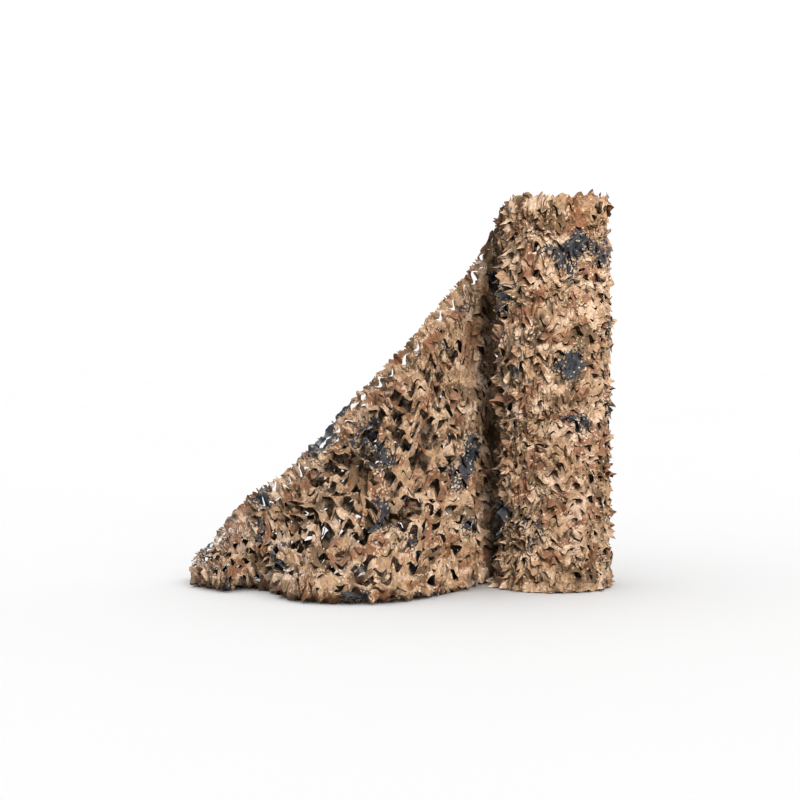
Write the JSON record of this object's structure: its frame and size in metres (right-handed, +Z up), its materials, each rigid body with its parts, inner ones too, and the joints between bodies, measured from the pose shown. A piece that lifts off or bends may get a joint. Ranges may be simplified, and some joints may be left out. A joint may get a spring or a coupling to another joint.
{
  "type": "camouflage netting",
  "caption": "Standing roll of leaf-cut camouflage netting, its loose end drawn out to one side and draped to the floor in soft folds.",
  "frame": {"origin": "on the floor, on the roll's axis", "axes": "+Z up along the roll, -X the way the loose end is drawn out, +Y to the side at which it leaves the roll, -Y the side its folds bulge to"},
  "size_m": [1.6344, 0.7041, 1.4801],
  "materials": {
    "netting": "matt coated polyester cloth, cut into leaves, printed in blocky tan, brown, khaki and slate blotches"
  },
  "bodies": {
    "root": {"net_roll": "netting", "loose_end": "netting"}
  },
  "joints": []
}
